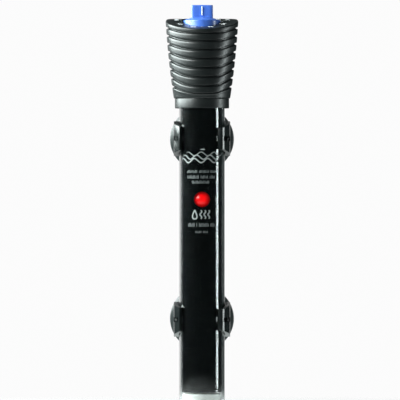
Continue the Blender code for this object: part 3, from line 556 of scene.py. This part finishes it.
UNLIT = {"Specular_IOR_Level": 0.02}  # a surface that hardly shines
looks = {
    "glass": make_glass(),
    "sleeve_black": moulded("sleeve_black", (0.0018, 0.0023, 0.0025), 0.6, grain=0.1, **UNLIT),
    "cap_black": moulded("cap_black", (0.008, 0.010, 0.010), 0.36, spread=0.06, grain=0.3, marks=0.1),
    "plastic_black": moulded("plastic_black", (0.03, 0.03, 0.03), 0.42),
    "clip_black": moulded("clip_black", (0.006, 0.008, 0.008), 0.22, spread=0.05, grain=0.12, marks=0.06),
    "cup_black": moulded("cup_black", (0.020, 0.025, 0.025), 0.3, spread=0.06, grain=0.1, marks=0.15),
    "rubber_black": moulded("rubber_black", (0.018, 0.018, 0.018), 0.62, grain=0.6),
    "rubber_grey": moulded("rubber_grey", (0.15, 0.15, 0.15), 0.65, grain=0.6),
    "dial_blue": moulded("dial_blue", (0.055, 0.14, 0.52), 0.3, spread=0.06, grain=0.25, marks=0.15),
    "lamp_red": make_lamp_red(),
    "ceramic_white": stone("ceramic_white", (0.8, 0.78, 0.73), 0.6, (0.6, 0.57, 0.5)),
    "ceramic_grey": stone("ceramic_grey", (0.6, 0.58, 0.54), 0.7, (0.4, 0.38, 0.35)),
    "mica": stone("mica", (0.58, 0.5, 0.35), 0.32, (0.75, 0.68, 0.5), scale=500.0),
    "white_pad": stone("white_pad", (0.85, 0.85, 0.82), 0.92, (0.7, 0.7, 0.68), scale=2200.0),
    "nichrome": metal("nichrome", (0.42, 0.38, 0.34), 0.4),
    "steel": metal("steel", (0.58, 0.58, 0.58), 0.33),
    "brass": metal("brass", (0.75, 0.56, 0.25), 0.28),
    "bimetal": metal("bimetal", (0.62, 0.52, 0.38), 0.33),
    "spring_copper": metal("spring_copper", (0.8, 0.45, 0.28), 0.28),
    "silver": metal("silver", (0.85, 0.85, 0.83), 0.22, stretch=(1.0, 1.0, 1.0)),
    "tinned": metal("tinned", (0.7, 0.7, 0.7), 0.35),
    "magnet_grey": stone("magnet_grey", (0.1, 0.1, 0.11), 0.5, (0.16, 0.16, 0.17), scale=1500.0),
    "board_green": make_board_green(),
    "resistor_tan": stone("resistor_tan", (0.62, 0.47, 0.3), 0.45, (0.5, 0.36, 0.22), scale=1500.0),
    "capacitor_orange": stone("capacitor_orange", (0.7, 0.3, 0.06), 0.35, (0.55, 0.22, 0.05), scale=1200.0),
    "wire_white": moulded("wire_white", (0.8, 0.8, 0.78), 0.45),
    "wire_blue": moulded("wire_blue", (0.05, 0.15, 0.5), 0.45),
    "wire_brown": moulded("wire_brown", (0.2, 0.09, 0.045), 0.45),
}
print_white = make_ink("print_white", (0.85, 0.87, 0.87))
print_grey = make_ink("print_grey", (0.26, 0.285, 0.285))


# ---------------------------------------------------------------- tube


def place(name, mesh, slot, body, stands_for=(), **where):
    """Adds a piece, and says which CAD nodes it stands for and which material slot it takes."""
    obj = new_object(name, mesh, looks[slot], body, **where)
    if stands_for:
        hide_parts(*stands_for)
    return obj


def make_tube():
    floor, inner_end, lip = 1.2 * MM, 8.1 * MM, 0.2 * MM
    rim = [(TUBE_BORE, TUBE_TOP - lip), (TUBE_BORE + lip, TUBE_TOP)]
    rim += [(TUBE_RADIUS - lip, TUBE_TOP), (TUBE_RADIUS, TUBE_TOP - lip)]
    outside = arc((0, TUBE_END_DEPTH), (TUBE_RADIUS, TUBE_END_DEPTH), 0, -90, 24)
    inside = arc((0, floor + inner_end), (TUBE_BORE, inner_end), -90, 0, 22)
    profile = [*rim, *outside[:-1], (0, 0), (0, floor), *inside[1:]]
    mesh = lathe("glass_tube_fine", profile, closed=True)
    place("glass_tube_fine", mesh, "glass", "heater", ["glass_tube"])


def make_sleeve():
    """The black sleeve behind the glass, with a round window for the lamp."""
    profile = [(SLEEVE_RADIUS, SLEEVE_TOP), (SLEEVE_RADIUS, SLEEVE_BOTTOM)]
    profile += [(SLEEVE_BORE, SLEEVE_BOTTOM), (SLEEVE_BORE, SLEEVE_TOP)]
    mesh = lathe("light_shield_fine", profile, closed=True)
    ends = (0, -5 * MM, LAMP_HEIGHT), (0, -15 * MM, LAMP_HEIGHT)
    mesh = combined(mesh, [bar("window", *ends, LAMP_RADIUS + 0.05 * MM, sides=64)])
    shade(mesh)
    place("light_shield_fine", mesh, "sleeve_black", "heater", ["light_shield_sleeve"])


def make_cushion():
    """The pad of fibre in the closed end, with a rounded upper edge."""
    radius, top, middle, bottom = 10.2 * MM, 12.4 * MM, 9.6 * MM, 2.2 * MM
    bowl = arc((0, middle), (radius, middle - bottom), 0, -90, 20)
    brim = rounded([(0, top), (radius, top, 1), (radius, middle)], 1.1 * MM, steps=6)
    mesh = lathe("bottom_cushion_fine", [*brim[:-1], *bowl[:-1], (0, bottom)], steps=96)
    place("bottom_cushion_fine", mesh, "white_pad", "heater", ["bottom_cushion"])


def make_lamp():
    """A domed lens on a flange, turned upright and then laid down to face the front."""
    flange, flange_top, back = LAMP_RADIUS + 0.6 * MM, 1.3 * MM, 0.3 * MM
    dome = arc((0, 2.8 * MM), (LAMP_RADIUS, 3.2 * MM), 90, 0, 20)
    profile = [(0, dome[0][1]), *dome[1:], (LAMP_RADIUS, 1.5 * MM), (LAMP_RADIUS + 0.15 * MM, flange_top)]
    profile += [(flange - 0.1 * MM, flange_top), (flange, flange_top - 0.1 * MM), (flange, back), (0, back)]
    mesh = lathe("indicator_lens", profile, steps=96)
    where = (0.0, BOARD_FACE, LAMP_HEIGHT)
    place("indicator_lens", mesh, "lamp_red", "heater", ["indicator_lamp"], location=where, turn=FACE_FRONT)


# ---------------------------------------------------------------- marks printed on the tube


def stroke_mesh(strokes):
    """Thin raised ink on the tube. A stroke's points are (distance round, height, half width), in mm."""
    bm = bmesh.new()
    for stroke in strokes:
        rings = []
        last = len(stroke) - 1
        for i, (u, z, half) in enumerate(stroke):
            before, after = stroke[max(i - 1, 0)], stroke[min(i + 1, last)]
            along = Vector((after[0] - before[0], after[1] - before[1])).normalized()
            side = Vector((-along.y, along.x)) * half
            ring = []
            for sign, radius in ((1, INK_FOOT), (1, INK_TOP), (-1, INK_TOP), (-1, INK_FOOT)):
                angle = (u + sign * side.x) * MM / TUBE_RADIUS
                ring.append(bm.verts.new(on_circle(radius, angle, (z + sign * side.y) * MM)))
            rings.append(ring)
        for a, b in zip(rings, rings[1:]):
            for i in range(4):
                j = (i + 1) % 4
                bm.faces.new((a[i], a[j], b[j], b[i]))
        bm.faces.new(rings[0])
        bm.faces.new(reversed(rings[-1]))
    bmesh.ops.recalc_face_normals(bm, faces=bm.faces)
    return mesh_of(bm, "ink")


def wave(start, end, height, rise, half, steps=60):
    """A wavy stroke from start to end, thinning to its ends."""
    length, phase = 7.2, 0.4
    points = []
    for i in range(steps + 1):
        share = i / steps
        u = start + (end - start) * share
        z = height + rise * math.sin(2 * math.pi * (u - start) / length + phase)
        taper = min(1.0, 5 * share, 5 * (1 - share)) ** 0.5
        points.append((u, z, half * max(taper, 0.2)))
    return points


def drop(u, z, width, height, half, steps=40):
    """A water drop's outline, in one stroke that starts and ends at its point."""
    points = []
    for i in range(steps + 1):
        t = 2 * math.pi * i / steps
        pinch = math.sin(t / 2) ** 1.6
        points.append((u + width / 2 * math.sin(t) * pinch, z + height / 2 * math.cos(t), half))
    return points


def rising_line(u, foot, tall, half, steps=24):
    """A stroke that winds upwards, as warm water does."""
    points = []
    for i in range(steps + 1):
        points.append((u + 0.5 * math.sin(2 * math.pi * i / 16), foot + tall * i / steps, half))
    return points


def hatching(start, end, height, tall, groups):
    """A row of short upright strokes where small print would be, set in groups with the given counts."""
    pitch, space, half = 0.68, 0.7, 0.08
    strokes, u = [], start
    group, left = 0, groups[0]
    while u <= end:
        low = height - tall / 2
        top = height + (tall / 2 if (group + left) % 3 else tall / 5)
        strokes.append([(u, low, half), (u, top, half)])
        u += pitch
        left -= 1
        if left == 0:
            group = (group + 1) % len(groups)
            left = groups[group]
            u += space
    return strokes


def add_print(name, strokes):
    new_object(name, stroke_mesh(strokes), print_grey, "heater")


def make_prints():
    """Generic marks: waves, rows of small print, and a drop with three rising lines."""
    waves = [wave(-12.6, 10.6, 134.9, 1.1, 0.27), wave(-11.4, 12.0, 136.7, 1.1, 0.25)]
    waves.append(wave(-9.0, 13.2, 138.4, 1.0, 0.18))
    add_print("wave_emblem", waves)
    rows = hatching(-8.2, 8.0, 129.2, 1.5, [9, 8, 6])
    rows += hatching(-8.0, 7.4, 126.3, 1.7, [10, 6, 7])
    rows += hatching(-5.2, 4.6, 123.6, 1.5, [14])
    rows += hatching(-7.6, 7.0, 101.2, 2.0, [6, 1, 8])
    rows += hatching(-3.3, 3.4, 97.4, 1.2, [5, 4])
    add_print("print_rows", rows)
    heat = [drop(-3.9, 106.6, 3.6, 4.8, 0.3)]
    heat += [rising_line(u, 104.4, 4.4, 0.3) for u in (-0.6, 1.5, 3.6)]
    add_print("heat_symbol", heat)
    dot = [(-1.0, 140.7, 0.12), (0.2, 140.8, 0.3), (1.0, 140.8, 0.32), (1.6, 140.7, 0.16)]
    add_print("emblem_dot", [dot])


# ---------------------------------------------------------------- head


def cap_radius(height):
    share = (height - CAP_FOOT) / (CAP_RIM - CAP_FOOT)
    return CAP_FOOT_RADIUS + (CAP_RIM_RADIUS - CAP_FOOT_RADIUS) * share + CAP_BELLY * share * (1 - share)


def groove_height(index):
    return GROOVE_TOP - GROOVE_PITCH * index - GROOVE_SPREAD * index * index


def groove_inset(height):
    """How deep the skin lies below the ribs' crowns at a height counted at the cap's side."""
    inset = 0.0
    for index in range(GROOVE_COUNT):
        away = abs(height - groove_height(index))
        if away < GROOVE_FLOOR:
            return GROOVE_DEPTH
        if away < GROOVE_HALF:
            share = (away - GROOVE_FLOOR) / (GROOVE_HALF - GROOVE_FLOOR)
            return GROOVE_DEPTH + (RIB_FALL - GROOVE_DEPTH) * share
        if away < GROOVE_HALF + RIB_EDGE:
            share = (away - GROOVE_HALF) / RIB_EDGE
            inset = max(inset, RIB_FALL * (1 - share) ** 2)
    return inset


def dip(height):
    """How far a point of the skin sinks at the very front, by its height at the side."""
    below = GROOVE_TOP - min(height, GROOVE_TOP)
    more = math.sin(math.pi / 2 * below / DIP_SPAN) ** 2
    start = min(max((height - DIP_START) / (DIP_FULL - DIP_START), 0.0), 1.0)
    return (DIP_TOP + DIP_MORE * more) * start * start * (3 - 2 * start)


def frontness(angle):
    """1 at the front, falling to 0 at the sides and behind."""
    if math.cos(angle) <= 0:
        return 0.0
    return 1 - abs(math.sin(angle)) ** DIP_POWER


def soft_least(a, b, width):
    """The lesser of two heights, with a rounded change between them."""
    half = 0.5 * (a + b)
    return half - 0.5 * math.sqrt((a - b) ** 2 + width * width)


def deck_height(radius, angle):
    """The cap's top face: slanting down to the front, and level behind."""
    forward = -math.cos(angle) * (SCOOP_REACH + SCOOP_SPREAD * radius)
    return soft_least(SCOOP_MIDDLE + SCOOP_SLOPE * forward, CAP_RIM - 0.02 * MM, SCOOP_EDGE)


def skin_heights():
    """Heights for the skin's rows, close together at the grooves, from the top rib down to the foot."""
    heights = {168.2, 168.9, 169.6, 170.3, 171.0, 207.6, 208.4}
    for index in range(GROOVE_COUNT):
        groove = groove_height(index) / MM
        for offset in (0.0, 0.22, 0.35, 0.48, 0.62, 0.78, 1.0, 1.3, 1.7, 2.05):
            heights.add(round(groove + offset, 3))
            heights.add(round(groove - offset, 3))
    ordered = sorted((h for h in heights if SKIN_FOOT / MM <= h <= SKIN_TOP / MM), reverse=True)
    kept = [ordered[0]]
    for height in ordered[1:]:
        if kept[-1] - height > ROW_GAP / MM:
            kept.append(height)
    return [height * MM for height in kept]


def skin_point(height, angle):
    """A point of the skin as (radius, height), for a row counted by its height at the side."""
    radius = cap_radius(height) - groove_inset(height)
    if height <= GROOVE_TOP:
        return radius, height - dip(height) * frontness(angle)
    low = GROOVE_TOP - dip(GROOVE_TOP) * frontness(angle)
    high = deck_height(LIP_RADIUS, angle) - LIP
    share = (height - GROOVE_TOP) / (SKIN_TOP - GROOVE_TOP)
    return radius, low + (high - low) * share


def cap_section(angle, heights):
    """The cap's outline at one angle: up from the well, over the deck and lip, down the ribs, up the bore."""
    skin = [skin_point(height, angle) for height in heights]
    radius, edge = skin[0]
    lip = []
    for inward, fall in ((1.0, 0.0), (0.72, 0.03), (0.42, 0.16), (0.16, 0.42)):
        lip.append((radius - inward * LIP, edge + (1 - fall) * LIP))
    deck = [(r * MM, deck_height(r * MM, angle)) for r in (10.35, 11.5, 13.0, 14.5, 16.0, 17.2)]
    rim = deck_height(WELL_RADIUS, angle)
    well = [(NECK_RADIUS, WELL_FLOOR), (WELL_RADIUS, WELL_FLOOR), (WELL_RADIUS, rim - 0.35 * MM)]
    well.append((WELL_RADIUS + 0.1 * MM, rim - 0.1 * MM))
    foot = [(CAP_FOOT_RADIUS, CAP_FOOT + CAP_EDGE), (CAP_FOOT_RADIUS - CAP_EDGE, CAP_FOOT)]
    bore = [(CAP_BORE, CAP_FOOT), (CAP_BORE, CHAMBER_FLOOR), (CHAMBER_RADIUS, CHAMBER_FLOOR + 1.5 * MM)]
    chamber = [(CHAMBER_RADIUS, CHAMBER_CEILING), (NECK_RADIUS, CHAMBER_CEILING)]
    return [*well, *deck, *lip, *skin, *foot, *bore, *chamber]


def make_cap():
    heights = skin_heights()
    angles = [2 * math.pi * i / CAP_TURN for i in range(CAP_TURN)]
    rows = []
    for points in zip(*[cap_section(angle, heights) for angle in angles]):
        rows.append([on_circle(radius, angle, height) for angle, (radius, height) in zip(angles, points)])
    mesh = ring_mesh("ribbed_cap_fine", rows, closed=True)
    x, y = 0.02 * MM, GLAND_OFFSET  # a touch off the skin's own column of corners, which keeps the cuts clean
    seat = bar("seat", (x, y, GLAND_SEAT_FLOOR), (x, y, GLAND_SEAT_TOP), GLAND_SEAT_RADIUS, sides=53)
    passage = bar("passage", (x, y, PASSAGE_FOOT), (x, y, PASSAGE_TOP), PASSAGE_RADIUS, sides=47)
    mesh = combined(mesh, [seat, passage])
    shade(mesh, 40)
    place("ribbed_cap_fine", mesh, "cap_black", "heater", ["ribbed_cap"])


def make_collar():
    outline = [(CAP_BORE, COLLAR_TOP), (COLLAR_RADIUS, COLLAR_TOP, 1), (COLLAR_RADIUS, COLLAR_FOOT, 1)]
    outline.append((CAP_BORE, COLLAR_FOOT))
    mesh = lathe("cap_collar_fine", rounded(outline, 0.35 * MM), closed=True)
    place("cap_collar_fine", mesh, "cap_black", "heater", ["cap_collar"])


def make_gland():
    """The sleeve that the cord would leave through, with three ridges at its foot."""
    outline = [(2.9, 201.3), (2.9, 214.5, 1), (3.5, 214.5, 1), (3.6, 213.4), (3.45, 213.0), (3.65, 212.6)]
    outline += [(3.5, 212.2), (3.75, 211.8), (3.6, 211.4), (3.9, 210.9), (3.9, 210.3), (3.3, 210.3)]
    outline.append((3.3, 201.3))
    mesh = lathe("cord_gland_fine", millimetres(rounded(outline, 0.2)), steps=64, closed=True)
    place("cord_gland_fine", mesh, "rubber_black", "heater", ["cord_gland"], location=(0, GLAND_OFFSET, 0))


def grip_rows():
    """A rounded bar across the dial, waisted in the middle, with a softly crowned top."""
    rows = [[(0.0, 0.0, GRIP_FOOT)]]
    rows += [grip_ring(height, share) for height, share in GRIP_LEVELS]
    rows.append([(0.0, 0.0, GRIP_TOP)])
    return [millimetres(row) for row in rows]


def grip_ring(height, share, steps=96):
    ring = []
    for i in range(steps):
        angle = 2 * math.pi * (i + 0.37) / steps  # offset, so that no corner meets one of the dial's own
        along, across = math.sin(angle), math.cos(angle)
        x = abs(along) ** 0.5 * math.copysign(GRIP_HALF_LENGTH, along) * (0.9 + 0.1 * share)
        waist = 0.82 + 0.18 * (abs(x) / GRIP_HALF_LENGTH) ** 2
        y = -(abs(across) ** 0.5) * math.copysign(GRIP_HALF_WIDTH, across) * share * waist
        ring.append((x, y, height))
    return ring


def make_dial():
    outline = [(2.8, 201.8), (9.7, 201.8), (9.7, 208.8, 1), (9.1, 209.1, 1), (5.0, 210.4), (0, 210.6)]
    outline += [(0, 207.8), (2.8, 207.8)]
    body = lathe("dial", millimetres(rounded(outline, 0.4)), closed=True)
    mesh = combined(body, [ring_mesh("grip", grip_rows())], "UNION")
    shade(mesh, 40)
    place("temperature_dial_fine", mesh, "dial_blue", "dial", ["temperature_dial"])
    pointer = block("pointer", *millimetres([(-0.28, -2.34, 211.4), (0.28, -2.02, 216.2)]))
    new_object("dial_pointer", bevelled(pointer, 0.06 * MM), print_white, "dial")


def make_scale():
    """Ticks and temperatures printed on the deck round the dial, with a short tick between two numbers."""
    bm = bmesh.new()
    spans = 2 * len(TEMPERATURES) - 2
    for i in range(spans + 1):
        add_tick(bm, SCALE_START + SCALE_SWEEP * i / spans, SHORT_TICK if i % 2 else LONG_TICK)
    bmesh.ops.recalc_face_normals(bm, faces=bm.faces)
    new_object("dial_ticks", mesh_of(bm, "ticks"), print_white, "heater")
    for i, number in enumerate(TEMPERATURES):
        make_number(number, SCALE_START + SCALE_SWEEP * i / (len(TEMPERATURES) - 1))


def add_tick(bm, angle, outer):
    across = Vector((math.cos(angle), math.sin(angle), 0.0)) * TICK_HALF
    corners = []
    for radius in (TICK_INNER, outer):
        for sign in (-1, 1):
            for lift in (-0.02 * MM, 0.03 * MM):
                point = Vector(on_circle(radius, angle, deck_height(radius, angle) + lift))
                corners.append(bm.verts.new(point + sign * across))
    for face in ((0, 1, 3, 2), (4, 6, 7, 5), (0, 4, 5, 1), (2, 3, 7, 6), (1, 5, 7, 3), (0, 2, 6, 4)):
        bm.faces.new([corners[k] for k in face])


def make_number(number, angle):
    """A flat number turned to its place on the scale and then laid onto the slanting deck."""
    text = bpy.data.curves.new("number", "FONT")
    text.body = str(number)
    text.size = NUMBER_SIZE
    text.extrude = 0.03 * MM
    text.align_x = "CENTER"
    text.align_y = "CENTER"
    text.resolution_u = 6
    carrier = linked("number", text)
    mesh = evaluated(carrier)
    bpy.data.objects.remove(carrier)
    turn = Matrix.Rotation(angle, 4, "Z")
    for vertex in mesh.vertices:
        point = turn @ Vector((vertex.co.x, vertex.co.y - NUMBER_RADIUS, 0.0))
        bearing = math.atan2(point.x, -point.y)
        height = deck_height(math.hypot(point.x, point.y), bearing) + vertex.co.z
        vertex.co = (point.x, point.y, height)
    bm = bmesh.new()
    bm.from_mesh(mesh)
    bmesh.ops.remove_doubles(bm, verts=bm.verts, dist=1e-6)
    bmesh.ops.recalc_face_normals(bm, faces=bm.faces)
    bm.to_mesh(mesh)
    bm.free()
    new_object(f"dial_number_{number}", mesh, print_white, "heater")


# ---------------------------------------------------------------- holders


def clip_outline():
    """The clip seen from above: round the tube from the left tip by the back, and home along the outside."""
    def at(angle, radius):
        return on_circle(radius, angle, 0.0)[:2]

    steps = 72
    turn = 2 * math.pi - RIGHT_TIP - LEFT_TIP
    inner = [at(-LEFT_TIP - turn * i / steps, CLIP_BORE) for i in range(steps + 1)]
    right = millimetres([(9.75, -9.5), (10.86, -9.26), (11.75, -8.43), (14.6, -1.5), (14.9, 4.5)])
    left = [at(-LEFT_TIP, 13.9 * MM), *millimetres([(-14.6, -1.5), (-14.9, 4.5)])]
    back = millimetres([(10.4, 13.2), (9.0, 14.4), (9.0, 18.2), (-9.0, 18.2), (-9.0, 14.4), (-10.4, 13.2)])
    return [*inner, *right, *back, *reversed(left)]


def wedge(sign):
    """Slants the arms' top or bottom edge, so that they narrow towards their tips."""
    side = millimetres([(-20.8, 2.7), (5.2, 9.2), (5.2, 20.0), (-20.8, 20.0)])
    mesh = prism("wedge", [(y, sign * z) for y, z in side], -30 * MM, 30 * MM)
    mesh.transform(Matrix.Rotation(math.pi / 2, 4, "Z") @ Matrix.Rotation(math.pi / 2, 4, "X"))
    return mesh


def pip(side):
    """A small round post that bridges the slit in one arm."""
    profile = [(0, -1.5), (0.25, -1.5), (0.25, -0.65), (0.45, -0.5), (0.62, -0.25), (0.68, 0.0), (0.62, 0.25)]
    profile += [(0.45, 0.5), (0.25, 0.65), (0.25, 1.5), (0, 1.5)]
    mesh = lathe("pip", millimetres(profile), steps=24)
    mesh.transform(Matrix.Translation((side * 13.45 * MM, -4.0 * MM, 0)))
    return mesh


def make_clip(holder, height):
    """A clip with a slit in each arm and a keyhole in its back."""
    mesh = prism(f"{holder}_clip", clip_outline(), -CLIP_HALF_HEIGHT, CLIP_HALF_HEIGHT)
    tools = [wedge(1), wedge(-1)]
    for low, high in (((9, -8.7, -1.2), (17, 3.6, 1.2)), ((-17, -5.5, -1.2), (-9, 3.6, 1.2))):
        tools.append(block("slit", *millimetres([low, high])))
    for radius, start, end in ((3.9, 13.5, 16.2), (2.5, 15.5, 19.5)):
        tools.append(bar("hole", (0, start * MM, 0), (0, end * MM, 0), radius * MM))
        tools.append(block("slot", *millimetres([(-radius, start, 0), (radius, end, 12)])))
    mesh = bevelled(combined(mesh, tools), 0.2 * MM, segments=5, angle=24)
    mesh = combined(mesh, [pip(1), pip(-1)], "UNION")
    shade(mesh, 14)
    stands_for = [f"{holder}_clip"]
    place(f"{holder}_clip_fine", mesh, "clip_black", f"{holder}_holder", stands_for, location=(0, 0, height))


def make_cup(holder, height):
    """A suction cup, turned upright on its rim and then laid down to face the front."""
    profile = [*rounded(KNOB, 0.5)[:-1], *smooth_line(CUP_OUTSIDE), CUP_RIM, *smooth_line(CUP_INSIDE)]
    profile = [(max(radius, 0.0), z) for radius, z in profile]
    mesh = lathe(f"{holder}_cup", millimetres(profile), steps=144)
    where, stands_for = (0.0, WALL_DISTANCE, height), [f"{holder}_suction_cup"]
    name = f"{holder}_cup_fine"
    place(name, mesh, "cup_black", f"{holder}_cup", stands_for, location=where, turn=FACE_FRONT)


# ---------------------------------------------------------------- studio


def make_light(name, bearing, distance, width, bottom, top, radiance, colour=(1.0, 1.0, 1.0)):
    """An upright area light facing the tube. Its bearing is in degrees from the front, to the right."""
    data = bpy.data.lights.new(name, "AREA")
    data.shape = "RECTANGLE"
    data.size = width
    data.size_y = top - bottom
    data.energy = 4 * radiance * data.size * data.size_y
    data.color = colour
    light = linked(name, data)
    where = Vector(on_circle(distance, math.radians(bearing), (top + bottom) / 2))
    inward = Vector((-where.x, -where.y, 0.0))
    light.location = where + Vector((0.0, HEATER.y, 0.0))
    light.rotation_euler = inward.to_track_quat("-Z", "Y").to_euler()
    light.visible_camera = False


def make_lights():
    make_light("right_strip", 85.2, 0.5, 0.084, -0.32, 0.22, 11.6, PALE_CYAN)
    make_light("left_box", -98, 0.55, 0.55, 0.027, 0.5, 17.0, PALE_GREEN)
    make_light("left_front_box", -58, 0.55, 0.26, 0.075, 0.5, 14.0, PALE_GREEN)
    make_light("lamp_sparkle", -42, 0.6, 0.13, 0.22, 0.36, 22.0)
    make_light("back_left", -163.5, 0.6, 0.35, -0.4, 0.3, 0.54)
    make_light("back_right", 171, 0.6, 0.14, -0.4, 0.3, 0.5)


def make_world():
    """A backdrop that the camera sees as pale and the heater reflects as nearly black."""
    world = bpy.data.worlds.new("studio")
    bpy.context.scene.world = world
    world.use_nodes = True
    tree, links = world.node_tree.nodes, world.node_tree.links
    tree.clear()
    output = tree.new("ShaderNodeOutputWorld")
    mix = tree.new("ShaderNodeMixShader")
    for socket, colour in ((1, SURROUNDINGS), (2, BACKDROP)):
        background = tree.new("ShaderNodeBackground")
        background.inputs["Color"].default_value = (*colour, 1.0)
        links.new(background.outputs["Background"], mix.inputs[socket])
    path = tree.new("ShaderNodeLightPath")
    links.new(path.outputs["Is Camera Ray"], mix.inputs[0])
    links.new(mix.outputs["Shader"], output.inputs["Surface"])


def make_floor():
    """A round floor half a millimetre below the tube's end."""
    mesh = lathe("floor", [(FLOOR_RADIUS, 0.0), (0.0, 0.0)], steps=96)
    floor = linked("floor", mesh)
    floor.location = HEATER - Vector((0.0, 0.0, 0.5 * MM))
    mesh.materials.append(make_floor_material())


def make_camera():
    """Level, straight on to the front, and far off, as through a long lens."""
    data = bpy.data.cameras.new("camera")
    data.lens = 500
    data.sensor_width = 36
    data.clip_start = 0.1
    data.clip_end = 50
    camera = linked("camera", data)
    camera.location = CAMERA_PLACE
    camera.rotation_euler = FACE_FRONT
    bpy.context.scene.camera = camera


# ---------------------------------------------------------------- the whole scene

make_camera()
make_lights()
make_world()
make_floor()
make_tube()
make_sleeve()
make_cushion()
make_lamp()
make_prints()
make_cap()
make_collar()
make_gland()
make_dial()
make_scale()
for holder, holder_height in CLIP_HEIGHTS.items():
    make_clip(holder, holder_height)
    make_cup(holder, holder_height)

slots = {part["node"]: part["material_slot"] for part in frame["record"]["subparts"]}
for node, obj in nodes.items():
    if obj.hide_render:
        continue
    obj.data.materials.clear()
    obj.data.materials.append(looks[slots[node]])
    if node not in THIN_NODES:
        add_bevel(obj, INSIDE_EDGE, 2, 50)

bpy.context.scene.view_settings.view_transform = "Standard"
